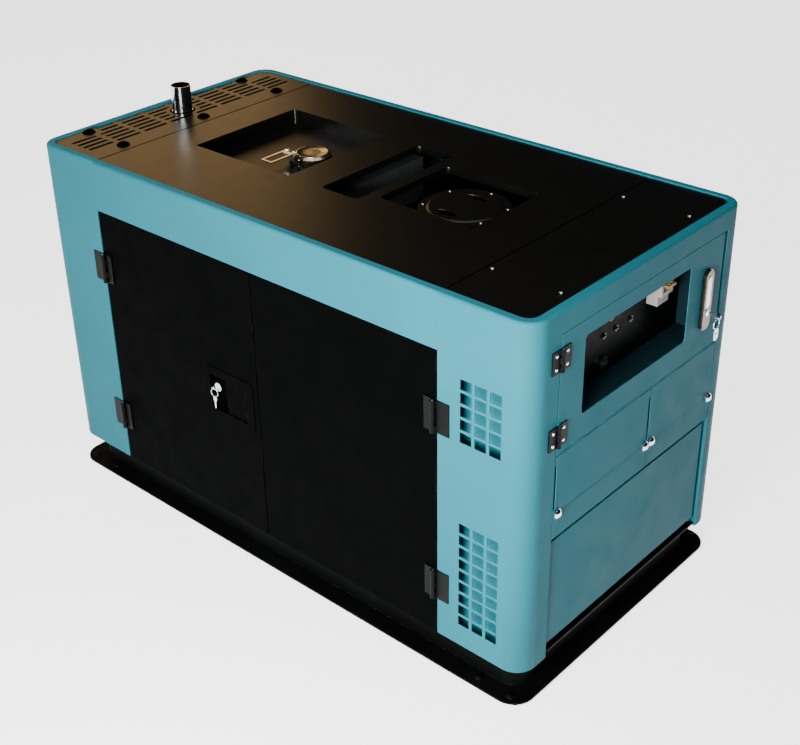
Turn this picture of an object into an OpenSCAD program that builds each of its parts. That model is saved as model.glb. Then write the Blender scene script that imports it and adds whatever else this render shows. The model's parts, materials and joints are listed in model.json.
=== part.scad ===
// Silenced generating set on a skid: a sheet-metal canopy with double doors on both long
// sides, a control end, a louvred deck, and the engine and alternator that it encloses.
// X runs along the set towards its control end, Y towards its back, Z up from the floor.

/* [Canopy] */
// Length over the end frames
canopy_length = 1250; // [1200:10:1500]
// Width over the doors
canopy_width = 636; // [620:2:760]
// Height from the foot of the corner posts to the top of the rim
canopy_height = 694; // [680:2:830]
// Outside radius of the upright corners
corner_radius = 40; // [38:1:50]
// Thickness of the painted sheet
sheet = 2; // [1.5:0.5:2.5]
// Width of the rim round the deck
rim_width = 18; // [16:1:20]
// Rounding along the rim's outer edge
rim_radius = 6; // [4:1:8]
// Width of the end frame's side at the exhaust end
left_frame_width = 174; // [160:1:190]
// Width of the end frame's side at the control end
right_frame_width = 188; // [184:1:205]
// Height of the rail over the doors, from the rim down
rail_height = 104; // [90:1:120]
// Face of the end frame above an end opening
end_header = 41; // [36:1:50]

/* [Base] */
// Height of the rubber pads
pad_height = 8; // [6:1:15]
// Height of the base, from the pads to the foot of the corner posts
base_height = 69; // [60:1:90]
// Distance of the base wall behind the canopy's sides
wall_inset = 30; // [28:1:40]
// Reach of the bottom flange past the canopy's long sides
flange_reach = 8.5; // [6:0.5:15]
// Reach of the bottom flange past the canopy's ends
flange_end_reach = 3.5; // [2:0.5:10]
// Thickness of the base plates
base_plate = 4; // [3:0.5:6]

/* [Doors] */
// Depth of the side doors
door_depth = 24; // [18:1:28]
// Gap round a door
door_gap = 2.5; // [2:0.5:4]
// Height of a side door's hinge
hinge_height = 63; // [50:1:80]
// Width of a hinge leaf on the frame
hinge_leaf = 27; // [20:1:32]
// Radius of a hinge barrel
barrel_radius = 5; // [4.5:0.5:6]
// Width of the paddle lock's dish
lock_width = 140; // [120:1:150]
// Height of the paddle lock's dish
lock_height = 112; // [95:1:120]
// Depth of the paddle lock's dish
lock_depth = 18; // [14:1:20]

/* [Control end] */
// Face of the front corner post on the control end
front_post_face = 74; // [70:1:90]
// Face of the back corner post on the control end
back_post_face = 54; // [50:1:70]
// Height of the control door
control_door_height = 222; // [210:1:240]
// Height of the terminal flaps
flap_height = 168; // [150:1:180]
// Width of the left flap
left_flap_width = 286; // [270:1:300]
// Width of the control door's window
window_width = 321; // [280:1:330]
// Height of the control door's window
window_height = 148; // [120:1:150]
// Depth from the control door's face to the control plate
plate_depth = 52; // [45:1:70]

/* [Deck] */
// Thickness of the deck panels
deck_sheet = 2; // [1.5:0.5:3]
// Depth of the fuel cap's dish
dish_depth = 32; // [26:1:40]
// Diameter of the fuel cap
cap_diameter = 75; // [60:1:84]
// Outside diameter of the exhaust pipe
pipe_diameter = 42.4; // [33.7:0.1:48.3]
// Height of the exhaust pipe above the deck
pipe_rise = 56; // [35:1:80]
// Length of a grille slot
slot_length = 59; // [50:1:62]
// Width of a grille slot
slot_width = 8.5; // [5:0.5:9]

/* [Hidden] */
$fn = 48;

TEAL = [0.30, 0.58, 0.62];
BLACK = [0.06, 0.065, 0.065];
STEEL = [0.78, 0.79, 0.80];
GREY = [0.35, 0.37, 0.38];
RUBBER = [0.09, 0.09, 0.09];

// Clearances
seat = 0.3;
pin_play = 0.05;
knuckle_gap = 0.3;
lid_gap = 1;

// Canopy: the control end's handle and key stand out, so the canopy sits back from the origin
handle_proud = 8;
key_reach = 28;
half_l = canopy_length / 2;
half_w = canopy_width / 2;
mid_x = -(handle_proud + key_reach - flange_end_reach) / 2;
x_left = mid_x - half_l;
x_right = mid_x + half_l;
post_z = pad_height + base_height;
top_z = post_z + canopy_height;
deck_drop = 2;
deck_top = top_z - deck_drop;
ledge_z = deck_top - deck_sheet;
skirt = 9;
shelf_z = ledge_z - skirt;
ledge_width = 14;
deck_gap = 1.7;
seam_left = x_left + left_frame_width;
seam_right = x_right - right_frame_width;
rail_z = top_z - rail_height;
jamb_depth = door_depth + 4;
return_depth = 16;

// End openings
end_foot = 26.5;
end_low = post_z + end_foot;
end_top = top_z - end_header;
open_front = -half_w + front_post_face;
open_back = half_w - back_post_face;
left_post_face = 64;

// Control end, from the top down
control_door_top = end_top - lid_gap;
control_door_foot = control_door_top - control_door_height;
flap_axis_radius = 2.2;
flap_axis_x = x_right - flap_axis_radius;
flap_axis_z = control_door_foot - flap_axis_radius - seat;
flap_foot = flap_axis_z - flap_height;
lower_panel_top = flap_foot - 11;
control_door_front = open_front + 2;
control_door_back = open_back - 10;
control_door_depth = 16;
flap_split = open_front + 2 + left_flap_width;
flap_spans = [[open_front + 2, flap_split - 1.5, 7], [flap_split + 1.5, open_back - 2, 5]];
lower_panel_recess = 4;
window_low = control_door_foot + 45;
window_front = control_door_front + 66;
window_radius = 8;
box_depth = 140;
box_margin = 38;
box_front = window_front - box_margin;
box_back = window_front + window_width + 60;
box_low = window_low - 5;
box_top = control_door_top - 6;
plate_x = x_right - sheet - plate_depth;

// Side doors
door_foot = post_z + 2;
door_top = rail_z - 3;
meeting_x = (seam_left + seam_right) / 2;
axis_inset = 6;
barrel_y = half_w + barrel_radius + 0.5;
leaf_sheet = 2.5;
upper_hinge_z = rail_z - 157;
lower_hinge_z = post_z + 81;
hinge_levels = [lower_hinge_z, upper_hinge_z];
pin_radius = 2.5;
lock_x = meeting_x - 85;
lock_z = post_z + 290;
lock_wall = 1.5;
lock_border = 17;
paddle_width = 50;
cylinder_radius = 9;
cylinder_x = lock_x - 34;
cylinder_z = lock_z + 12;

// Control door's hinge
control_axis_y = open_front + 1;
control_barrel = 4;
control_axis_x = x_right + control_barrel + 0.4;
control_hinge_height = 41;
control_leaf = 24;
control_levels = [control_door_foot + 16, control_door_top - 23 - control_hinge_height];

// Deck
grille_edge = seam_left - deck_gap;
panel_reach = rim_width + 3;
panel_radius = corner_radius - panel_reach;
pipe_x = x_left + 79;
pipe_hole = pipe_diameter / 2 + 6.5;
slot_pitch = slot_width + 10;
row_pitch = slot_length + 11.8;
slot_start = x_left + 117;
cap_screw_radius = 14;
cap_screw_near = x_left + 147;
cap_screw_far = x_left + 33;
cap_screw_y = 215;
dish_left = mid_x - 360;
dish_length = 262;
dish_front = -124;
dish_width = 279;
dish_radius = 4;
dish_floor = deck_top - dish_depth;
cap_x = mid_x - 151;
cap_y = -2;
neck_radius = cap_diameter / 2 - 8;
neck_hole = neck_radius + 14;
slot_one = [mid_x - 10, -122, 91, 278];
slot_two = [mid_x + 106, -89, 219, 195];
cleaner_x = mid_x + 237;
cleaner_y = -1;
cleaner_radius = 85;
cleaner_screws = 6;
cleaner_body = 62;
cover_z = ledge_z - 14;
lens_radius = 35;
screw_radius = 4;
deck_screw_y = 192;

// Running gear
crank_z = post_z + 230;
engine_left = mid_x - 345;
engine_length = 290;
alternator_left = engine_left + engine_length + 60;
alternator_length = 285;
alternator_radius = 128;
shaft_radius = 25;
mount_size = 46;
mount_height = 40;
deck_plate_top = post_z + 11;

// A rectangle with round corners, centred
module round_rect(size, r) {
    square([size[0] - 2 * r, size[1]], center = true);
    square([size[0], size[1] - 2 * r], center = true);
    for (sx = [-1, 1], sy = [-1, 1])
        translate([sx * (size[0] / 2 - r), sy * (size[1] / 2 - r)]) circle(r);
}

// A box given by two opposite corners
module span(low, high) {
    translate(low) cube(high - low);
}

// Carries a section round a rectangle with round corners of radius r
module around(length, width, r) {
    for (sx = [-1, 1], sy = [-1, 1]) {
        start = sx > 0 ? (sy > 0 ? 0 : 270) : (sy > 0 ? 90 : 180);
        translate([sx * (length / 2 - r), sy * (width / 2 - r), 0])
            rotate(start) rotate_extrude(angle = 90) children();
    }
    for (turn = [0, 180])
        rotate(turn) translate([r - length / 2, width / 2 - r, 0])
            rotate([90, 0, 90]) linear_extrude(length - 2 * r) children();
    for (turn = [90, 270])
        rotate(turn) translate([r - width / 2, length / 2 - r, 0])
            rotate([90, 0, 90]) linear_extrude(width - 2 * r) children();
}

// Wall, rounded rim, and the stepped ledge that carries the deck
module canopy_section() {
    translate([corner_radius - sheet, post_z]) square([sheet, canopy_height - rim_radius]);
    translate([corner_radius - rim_width, top_z - sheet])
        square([rim_width - rim_radius, sheet]);
    intersection() {
        translate([corner_radius - rim_radius, top_z - rim_radius]) difference() {
            circle(rim_radius);
            circle(rim_radius - sheet);
        }
        translate([corner_radius - rim_radius, top_z - rim_radius]) square(rim_radius);
    }
    translate([corner_radius - rim_width, shelf_z - sheet])
        square([sheet, top_z - shelf_z + sheet]);
    translate([corner_radius - rim_width - ledge_width, shelf_z - sheet])
        square([ledge_width + sheet, sheet]);
}

module canopy_shell() {
    translate([mid_x, 0, 0]) around(canopy_length, canopy_width, corner_radius)
        canopy_section();
}

// ---- base ----

module skid_base() {
    flange = [canopy_length + 2 * flange_end_reach, canopy_width + 2 * flange_reach];
    wall = [canopy_length - 2 * wall_inset, canopy_width - 2 * wall_inset];
    plate = [canopy_length - 2 * sheet - 2 * seat, canopy_width - 2 * sheet - 2 * seat];
    wall_radius = corner_radius - 8;
    color(BLACK) difference() {
        translate([mid_x, 0, 0]) {
            translate([0, 0, pad_height]) linear_extrude(base_plate) difference() {
                round_rect(flange, corner_radius + 4);
                round_rect(wall - [120, 120], wall_radius);
            }
            translate([0, 0, pad_height]) linear_extrude(deck_plate_top - pad_height) difference() {
                round_rect(wall, wall_radius);
                round_rect(wall - 2 * [base_plate, base_plate], wall_radius - base_plate);
            }
            translate([0, 0, deck_plate_top - base_plate]) linear_extrude(base_plate)
                round_rect(plate, corner_radius - sheet - seat);
        }
        // room for the doors, their jambs and the end panels' returns
        for (side = [-1, 1]) scale([1, side, 1])
            span([seam_left - sheet - seat, half_w - jamb_depth - seat, post_z],
                [seam_right + sheet + seat, half_w + 1, deck_plate_top + 1]);
        span([x_right - return_depth - seat, open_front - sheet - seat, post_z],
            [x_right, open_front + 6, deck_plate_top + 1]);
        span([x_right - return_depth - seat, open_back - 6, post_z],
            [x_right, open_back + sheet + seat, deck_plate_top + 1]);
        for (side = [-1, 1]) scale([1, side, 1])
            span([x_left, half_w - left_post_face - 6, post_z],
                [x_left + return_depth + seat, half_w - left_post_face + sheet + seat,
                deck_plate_top + 1]);
    }
}

// Places children at the two bolts of each corner of the flange
module at_flange_bolts() {
    for (sx = [-1, 1], sy = [-1, 1], d = [29, 100])
        translate([mid_x + sx * (half_l - d), sy * (half_w - 11), pad_height + base_plate])
            children();
}

module foot_pads() {
    color(RUBBER) for (sx = [-1, 1], sy = [-1, 1])
        translate([mid_x + sx * (half_l - 64.5), sy * (half_w - 23), 0])
            linear_extrude(pad_height) round_rect([104, 32], 8);
}

module flange_bolts() {
    color(BLACK) at_flange_bolts() {
        cylinder(r = 9, h = 1.5);
        intersection() {
            translate([0, 0, -3]) sphere(9.5);
            cylinder(r = 7.5, h = 8);
        }
    }
}

// ---- canopy ----

// Turned-in edges at the door seam and at the end opening, for an end at +X
module frame_returns(edge, seam, front_open, back_open) {
    for (side = [-1, 1]) scale([1, side, 1])
        span([seam, half_w - jamb_depth, post_z], [seam + sheet, half_w - sheet, shelf_z - sheet]);
    span([edge - return_depth, front_open - sheet, post_z], [edge - sheet, front_open, end_top]);
    span([edge - return_depth, back_open, post_z], [edge - sheet, back_open + sheet, end_top]);
    span([edge - return_depth, front_open - sheet, end_top],
        [edge - sheet, back_open + sheet, end_top + sheet]);
}

module vent_holes(columns, rows, low_z) {
    for (c = [0 : columns - 1], r = [0 : rows - 1], side = [-1, 1]) scale([1, side, 1])
        span([x_right - 140 + 30.4 * c, half_w - sheet - 1, low_z + 25.3 * r],
            [x_right - 116 + 30.4 * c, half_w + 1, low_z + 20 + 25.3 * r]);
}

module left_end_frame() {
    color(TEAL) difference() {
        union() {
            intersection() {
                canopy_shell();
                span([x_left - 1, -half_w - 1, post_z - 1],
                    [seam_left - seat, half_w + 1, top_z + 1]);
            }
            mirror([1, 0, 0])
                frame_returns(-x_left, seat - seam_left, left_post_face - half_w,
                    half_w - left_post_face);
        }
        span([x_left - 1, left_post_face - half_w, post_z - 1],
            [x_left + sheet, half_w - left_post_face, end_top]);
        cap_screw_places() translate([0, 0, shelf_z - 10]) cylinder(r = 5, h = 11);
    }
}

module right_end_frame() {
    bar_back = x_right - 12;
    color(TEAL) {
        difference() {
            union() {
                intersection() {
                    canopy_shell();
                    span([seam_right, -half_w - 1, post_z - 1],
                        [x_right + 1, half_w + 1, top_z + 1]);
                }
                frame_returns(x_right, seam_right, open_front, open_back);
                // cross bar behind the seam between control door and flaps
                span([x_right - 30, open_front - sheet, flap_axis_z - 12],
                    [bar_back, open_back + sheet, flap_axis_z - 10]);
                span([x_right - 30, open_front - sheet, flap_axis_z - 12],
                    [x_right - 28, open_back + sheet, flap_axis_z + 12]);
                // cross bar behind the top of the lower panel
                span([x_right - 20, open_front - sheet, lower_panel_top - 6],
                    [x_right - lower_panel_recess - sheet, open_back + sheet, lower_panel_top - 4]);
            }
            span([x_right - sheet, open_front, post_z - 1], [x_right + 1, open_back, end_top]);
            vent_holes(3, 5, rail_z - 157);
            vent_holes(3, 9, post_z + 46);
        }
        flap_knuckles(true);
    }
}

// Barrels of the flap hinges, every other one fixed and carried by a web from the cross bar
module flap_knuckles(fixed) {
    for (flap = flap_spans, k = [0 : flap[2] - 1]) if ((k % 2 == 0) == fixed) {
        pitch = (flap[1] - flap[0]) / flap[2];
        low_y = flap[0] + pitch * k;
        difference() {
            union() {
                translate([flap_axis_x, low_y, flap_axis_z]) rotate([-90, 0, 0])
                    cylinder(r = flap_axis_radius, h = pitch - knuckle_gap);
                if (fixed)
                    span([x_right - 28.5, low_y, flap_axis_z - 1],
                        [flap_axis_x, low_y + pitch - knuckle_gap, flap_axis_z + 1]);
                else
                    span([x_right - sheet, low_y, flap_axis_z - 3.3],
                        [x_right - 0.8, low_y + pitch - knuckle_gap, flap_axis_z]);
            }
            translate([flap_axis_x, low_y - 1, flap_axis_z]) rotate([-90, 0, 0])
                cylinder(r = 1 + pin_play, h = pitch + 2);
        }
    }
}

module top_rail() {
    intersection() {
        canopy_shell();
        span([seam_left, 0, rail_z], [seam_right - seat, half_w + 1, top_z + 1]);
    }
    span([seam_left, half_w - jamb_depth, rail_z],
        [seam_right - seat, half_w - sheet, rail_z + sheet]);
}

module front_top_rail() {
    color(TEAL) scale([1, -1, 1]) top_rail();
}

module back_top_rail() {
    color(TEAL) top_rail();
}

module left_end_panel() {
    reach = half_w - left_post_face - 2;
    color(TEAL) {
        span([x_left + 3, -reach, end_low], [x_left + 3 + sheet, reach, end_top - 1.5]);
        for (side = [-1, 1]) scale([1, side, 1])
            span([x_left + 3, reach - sheet, end_low], [x_left + 14, reach, end_top - 1.5]);
        span([x_left + 3, -reach, deck_plate_top], [x_left + 3 + sheet, reach, end_low]);
    }
}

module lower_end_panel() {
    face = x_right - lower_panel_recess;
    color(TEAL) {
        span([face - sheet, control_door_front, end_low],
            [face, control_door_back, lower_panel_top]);
        span([face - 12, control_door_front, end_low],
            [face, control_door_back, end_low + sheet]);
        // feet that stand on the base plate
        for (y = [control_door_front + 10, control_door_back - 40])
            span([face - 12, y, deck_plate_top], [face - 10, y + 30, end_low + sheet]);
    }
}

module vent_baffles() {
    color(TEAL) for (side = [-1, 1]) scale([1, side, 1]) {
        span([seam_right + sheet, half_w - 36, deck_plate_top],
            [x_right - 50, half_w - 34, end_top - 20]);
        span([x_right - 52, half_w - 36, deck_plate_top],
            [x_right - 50, half_w - sheet - seat, end_top - 20]);
    }
}

// ---- deck ----

// The outline of a deck sheet inside the rim, from one seam to the next
module deck_strip(low_x, high_x, inset = 0) {
    intersection() {
        translate([mid_x, 0]) round_rect([canopy_length, canopy_width]
            - 2 * [panel_reach + inset, panel_reach + inset], panel_radius - inset);
        translate([low_x + inset, -half_w]) square([high_x - low_x - 2 * inset, canopy_width]);
    }
}

// Its turned-down edge, which stands on the canopy's ledge
module deck_skirt(low_x, high_x) {
    translate([0, 0, shelf_z]) linear_extrude(skirt + 0.1) difference() {
        deck_strip(low_x, high_x);
        deck_strip(low_x, high_x, deck_sheet);
    }
}

module cap_screw_places() {
    for (y = [-cap_screw_y, 0, cap_screw_y]) translate([cap_screw_near, y]) children();
    for (y = [-cap_screw_y, cap_screw_y]) translate([cap_screw_far, y]) children();
}

module grille_slots() {
    difference() {
        for (row = [-3.5 : 3.5], k = [0 : 5])
            if (abs(row) < 3 || k < 4)
                translate([slot_start - slot_pitch * k, row * row_pitch])
                    square([slot_width, slot_length], center = true);
        for (y = [-cap_screw_y, cap_screw_y])
            translate([cap_screw_far - 20, y - 24]) square([46, 48]);
        translate([pipe_x, 0]) circle(pipe_hole + 9);
    }
}

module grille_panel() {
    color(BLACK) {
        translate([0, 0, ledge_z]) linear_extrude(deck_sheet) difference() {
            deck_strip(x_left, grille_edge);
            grille_slots();
            translate([pipe_x, 0]) circle(pipe_hole);
            cap_screw_places() circle(5);
        }
        deck_skirt(x_left, grille_edge);
    }
}

module grille_cap_screws() {
    color(BLACK) cap_screw_places() {
        translate([0, 0, deck_top]) intersection() {
            translate([0, 0, -10]) sphere(cap_screw_radius + 3.2);
            cylinder(r = cap_screw_radius, h = 9);
        }
        translate([0, 0, ledge_z - 8]) cylinder(r = 4.5, h = 9 + deck_sheet);
    }
}

module center_deck() {
    dish_mid = [dish_left + dish_length / 2, dish_front + dish_width / 2];
    inner = [dish_length, dish_width];
    color(BLACK) {
        translate([0, 0, ledge_z]) linear_extrude(deck_sheet) difference() {
            deck_strip(seam_left + deck_gap, seam_right - deck_gap);
            translate(dish_mid) round_rect(inner, dish_radius);
            translate([slot_one[0] + slot_one[2] / 2, slot_one[1] + slot_one[3] / 2])
                round_rect([slot_one[2], slot_one[3]], 10);
            translate([slot_two[0] + slot_two[2] / 2, slot_two[1] + slot_two[3] / 2])
                round_rect([slot_two[2], slot_two[3]], 10);
        }
        deck_skirt(seam_left + deck_gap, seam_right - deck_gap);
        // wells under the two openings
        for (well = [slot_one, slot_two])
            translate([well[0] + well[2] / 2, well[1] + well[3] / 2, ledge_z - 12])
                linear_extrude(12.1) difference() {
                    round_rect([well[2] + 4, well[3] + 4], 12);
                    round_rect([well[2], well[3]], 10);
                }
        translate([dish_mid[0], dish_mid[1], dish_floor]) linear_extrude(dish_depth)
            difference() {
                round_rect(inner + 2 * [deck_sheet, deck_sheet], dish_radius + deck_sheet);
                round_rect(inner, dish_radius);
            }
        translate([0, 0, dish_floor - deck_sheet]) linear_extrude(deck_sheet) difference() {
            translate(dish_mid)
                round_rect(inner + 2 * [deck_sheet, deck_sheet], dish_radius + deck_sheet);
            translate([cap_x, cap_y]) circle(neck_hole);
        }
    }
}

module right_deck() {
    color(BLACK) {
        translate([0, 0, ledge_z]) linear_extrude(deck_sheet) difference() {
            deck_strip(seam_right + deck_gap, x_right);
            right_deck_screw_places() circle(screw_radius / 2);
        }
        deck_skirt(seam_right + deck_gap, x_right);
    }
}

module right_deck_screw_places() {
    for (x = [seam_right + 12, x_right - 40], y = [-deck_screw_y, deck_screw_y])
        translate([x, y]) children();
}

module cleaner_screw_places() {
    for (k = [0 : cleaner_screws - 1])
        translate([cleaner_x, cleaner_y])
            rotate(30 + 360 / cleaner_screws * k) translate([cleaner_radius - 7, 0]) children();
}

module pan_screw() {
    intersection() {
        translate([0, 0, -screw_radius * 0.6]) sphere(screw_radius * 1.2);
        cylinder(r = screw_radius, h = screw_radius);
    }
}

module deck_screws() {
    color(STEEL) {
        right_deck_screw_places() {
            translate([0, 0, deck_top]) pan_screw();
            translate([0, 0, ledge_z - 4]) cylinder(r = screw_radius / 2 - pin_play, h = 6.5);
        }
        cleaner_screw_places() translate([0, 0, cover_z + 3]) scale(0.8) pan_screw();
    }
}

module air_cleaner() {
    low_z = crank_z + alternator_radius + 30;
    color(GREY) difference() {
        union() {
            translate([cleaner_x, cleaner_y, low_z])
                cylinder(r = cleaner_body, h = cover_z - low_z);
            translate([cleaner_x, cleaner_y, cover_z - 3]) cylinder(r = cleaner_radius - 2, h = 3);
            translate([cleaner_x, cleaner_y, crank_z + alternator_radius - 10])
                cylinder(r = 28, h = low_z - crank_z - alternator_radius + 11);
        }
        translate([cleaner_x, cleaner_y, low_z + 3])
            cylinder(r = cleaner_body - 3, h = deck_top);
        translate([alternator_left, 0, crank_z]) rotate([0, 90, 0])
            cylinder(r = alternator_radius, h = alternator_length);
    }
}

module air_cleaner_cover() {
    color(BLACK) translate([cleaner_x, cleaner_y, cover_z]) difference() {
        union() {
            cylinder(r = cleaner_radius, h = 3);
            translate([0, 0, 3]) cylinder(r1 = cleaner_radius - 14, r2 = cleaner_radius - 18, h = 2);
        }
        // two lens-shaped finger holes
        for (side = [-1, 1]) translate([-6, side * 44, -1]) linear_extrude(10) intersection() {
            translate([0, lens_radius - 9]) circle(lens_radius);
            translate([0, 9 - lens_radius]) circle(lens_radius);
        }
    }
}

// ---- fuel ----

module fuel_tank() {
    low = [dish_left - 20, -190, tank_foot];
    high = [slot_one[0] - 16, 190, dish_floor - deck_sheet - 4];
    color(GREY) {
        difference() {
            span(low, high);
            span(low + [3, 3, 3], high - [3, 3, 3]);
            translate([cap_x, cap_y, high[2] - 4]) cylinder(r = neck_radius - 3, h = 5);
        }
        translate([cap_x, cap_y, high[2] - 1]) difference() {
            cylinder(r = neck_radius, h = deck_top - 17 - high[2]);
            translate([0, 0, -1]) cylinder(r = neck_radius - 3, h = 60);
        }
        // side straps that hang the tank from the deck
        for (y = [low[1] - 3, high[1]]) span([low[0] + 40, y, high[2] - 60],
            [low[0] + 70, y + 3, ledge_z]);
        // lug that carries the hasp's hinge
        difference() {
            union() {
                translate([hasp_x - 6, hasp_axis_y - 4, dish_floor + 1])
                    cube([cap_x - neck_radius + 1 - hasp_x + 6, 8, 4]);
                translate([hasp_x - 6, hasp_axis_y - 4, dish_floor + 1])
                    cube([12, 8, hasp_z - dish_floor - 1]);
                translate([hasp_x - 6, hasp_axis_y, hasp_z]) rotate([0, 90, 0])
                    cylinder(r = 4, h = 12);
            }
            translate([hasp_x - 8, hasp_axis_y, hasp_z]) rotate([0, 90, 0])
                cylinder(r = 2 + pin_play, h = 14);
            translate([cap_x, cap_y, dish_floor]) cylinder(r = neck_radius - 1, h = 20);
        }
    }
}

hasp_z = dish_floor + 20;
hasp_x = cap_x - cap_diameter / 2 - 19;
hasp_axis_y = cap_y - 2;

module fuel_cap() {
    low_z = deck_top - 21;
    color(STEEL) translate([cap_x, cap_y, low_z]) difference() {
        union() {
            cylinder(r = cap_diameter / 2, h = 16);
            translate([0, 0, 16]) cylinder(r1 = cap_diameter / 2, r2 = cap_diameter / 2 - 4, h = 4);
            for (k = [0 : 23]) rotate(15 * k) translate([cap_diameter / 2, 0, 1])
                cylinder(r = 1.2, h = 13);
        }
        translate([0, 0, -1]) cylinder(r = neck_radius + seat, h = 12);
    }
}

// Strap with a long window on a cross pin; it lies flat and lifts to take a padlock
module fuel_cap_hasp() {
    color(STEEL) translate([hasp_x, hasp_axis_y, hasp_z]) {
        rotate([0, 90, 0]) translate([0, 0, -15]) cylinder(r = 2, h = 30);
        for (x = [-15, 7]) translate([x, 0, 0]) rotate([0, 90, 0]) cylinder(r = 4, h = 8);
        for (x = [-15, 7]) translate([x, -12, -1.2]) cube([8, 12, 2.4]);
        translate([0, 0, -1.2]) linear_extrude(2.4) difference() {
            translate([0, -40]) round_rect([30, 64], 3);
            translate([0, -42]) round_rect([21, 51], 1.5);
        }
    }
}

// ---- exhaust ----

// Riser from the muffler, and the outlet tube that stands above the deck
module exhaust_pipe() {
    color(STEEL) difference() {
        union() {
            translate([pipe_x, 0, muffler_top])
                cylinder(r = riser_radius, h = deck_top + 1 - muffler_top);
            translate([pipe_x, 0, deck_top])
                cylinder(r = pipe_diameter / 2, h = pipe_rise);
        }
        translate([pipe_x, 0, muffler_top - 1]) cylinder(r = pipe_diameter / 2 - 1.6, h = 400);
    }
}

riser_radius = pipe_diameter / 2 + 1.6;

// the inlet pipe runs just under the tank, whatever the depth of the dish above it
tank_foot = ledge_z - 124;
muffler_top = ledge_z - 90;
muffler_radius = 62;

module muffler() {
    mid_z = muffler_top - muffler_radius;
    color(GREY) {
        difference() {
            translate([pipe_x, -190, mid_z]) rotate([-90, 0, 0]) {
                cylinder(r = muffler_radius, h = 380);
                translate([0, 0, -5]) cylinder(r = muffler_radius - 8, h = 390);
            }
            translate([pipe_x, -185, mid_z]) rotate([-90, 0, 0])
                cylinder(r = muffler_radius - 3, h = 370);
            translate([pipe_x, 0, mid_z]) cylinder(r = pipe_diameter / 2 - 1.6, h = 100);
        }
        // collar round the pipe
        translate([pipe_x, 0, muffler_top - 3]) difference() {
            cylinder(r = riser_radius + 5, h = 14);
            translate([0, 0, 3]) cylinder(r = riser_radius + pin_play, h = 20);
            translate([0, 0, -5]) cylinder(r = pipe_diameter / 2 - 1.6, h = 20);
        }
        // down pipe to the engine and the legs that stand on the base
        translate([pipe_x + 20, 0, mid_z]) rotate([0, 90, 0]) difference() {
            cylinder(r = 24, h = engine_left - pipe_x - 19);
            translate([0, 0, 45]) cylinder(r = 21, h = 400);
        }
        for (y = [-150, 146]) difference() {
            span([pipe_x - 25, y, deck_plate_top], [pipe_x + 25, y + 4, mid_z - 20]);
            translate([pipe_x, -185, mid_z]) rotate([-90, 0, 0])
                cylinder(r = muffler_radius - 1, h = 370);
        }
    }
}

// ---- engine and alternator ----

module engine_block() {
    low_z = deck_plate_top + mount_height + 10;
    color(GREY) difference() {
        union() {
            translate([engine_left, 0, 0]) rotate([90, 0, 90]) linear_extrude(engine_length)
                polygon([[-110, low_z], [110, low_z], [130, crank_z - 30], [100, crank_z + 90],
                    [-100, crank_z + 90], [-130, crank_z - 30]]);
            for (lean = [-1, 1], k = [0 : 9])
                translate([engine_left + 145, 0, crank_z]) rotate([lean * 42, 0, 0])
                    translate([0, 0, 100 + 13 * k]) linear_extrude(6)
                        round_rect([150, 112], 20);
            for (lean = [-1, 1])
                translate([engine_left + 145, 0, crank_z]) rotate([lean * 42, 0, 0])
                    translate([0, 0, 60]) cylinder(r = 46, h = 185);
            // engine feet
            for (x = [engine_left + 20, engine_left + engine_length - 70])
                span([x, -170, low_z - 10], [x + 50, 170, low_z]);
        }
        translate([engine_left - 1, 0, crank_z]) rotate([0, 90, 0])
            cylinder(r = shaft_radius + pin_play, h = engine_length + 2);
        // crankcase
        span([engine_left + 25, -85, low_z + 20], [engine_left + engine_length - 25, 85,
            crank_z + 60]);
    }
}

// Shaft with the cooling fan at one end and the alternator's rotor at the other
module crankshaft() {
    fan_x = engine_left - 38;
    color(STEEL) translate([0, 0, crank_z]) rotate([0, 90, 0]) {
        translate([0, 0, fan_x - 10])
            cylinder(r = shaft_radius, h = alternator_left + alternator_length - 24 - fan_x);
        translate([0, 0, fan_x]) cylinder(r = 60, h = 8);
        for (k = [0 : 8]) rotate(40 * k) translate([55, -2, fan_x - 12]) cube([75, 4, 32]);
        translate([0, 0, alternator_left + 40]) cylinder(r = 78, h = alternator_length - 110);
    }
}

module alternator_housing() {
    foot_z = deck_plate_top + mount_height;
    color(GREY) {
        difference() {
            union() {
                translate([alternator_left, 0, crank_z]) rotate([0, 90, 0])
                    cylinder(r = alternator_radius, h = alternator_length);
                for (x = [alternator_left + 20, alternator_left + alternator_length - 70])
                    span([x, -150, foot_z], [x + 50, 150, foot_z + 10]);
                for (x = [alternator_left + 30, alternator_left + alternator_length - 50],
                    y = [-90, 80]) span([x, y, foot_z], [x + 20, y + 10, crank_z - 80]);
                // bell housing between engine and alternator
                translate([engine_left + engine_length, 0, crank_z]) rotate([0, 90, 0])
                    cylinder(r = 95, h = 61);
            }
            translate([alternator_left + 8, 0, crank_z]) rotate([0, 90, 0])
                cylinder(r = 100, h = alternator_length - 16);
            translate([engine_left + engine_length - 1, 0, crank_z]) rotate([0, 90, 0])
                cylinder(r = shaft_radius + pin_play, h = 80);
            // air slots in the end cover
            for (k = [0 : 11]) translate([alternator_left + alternator_length - 12, 0, crank_z])
                rotate([30 * k, 0, 0]) translate([0, -5, 40]) cube([20, 10, 48]);
        }
        // bearing of the far end
        translate([alternator_left + alternator_length - 26, 0, crank_z]) rotate([0, 90, 0])
            difference() {
                cylinder(r = 36, h = 19);
                translate([0, 0, -1]) cylinder(r = shaft_radius + pin_play, h = 25);
            }
    }
}

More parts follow.
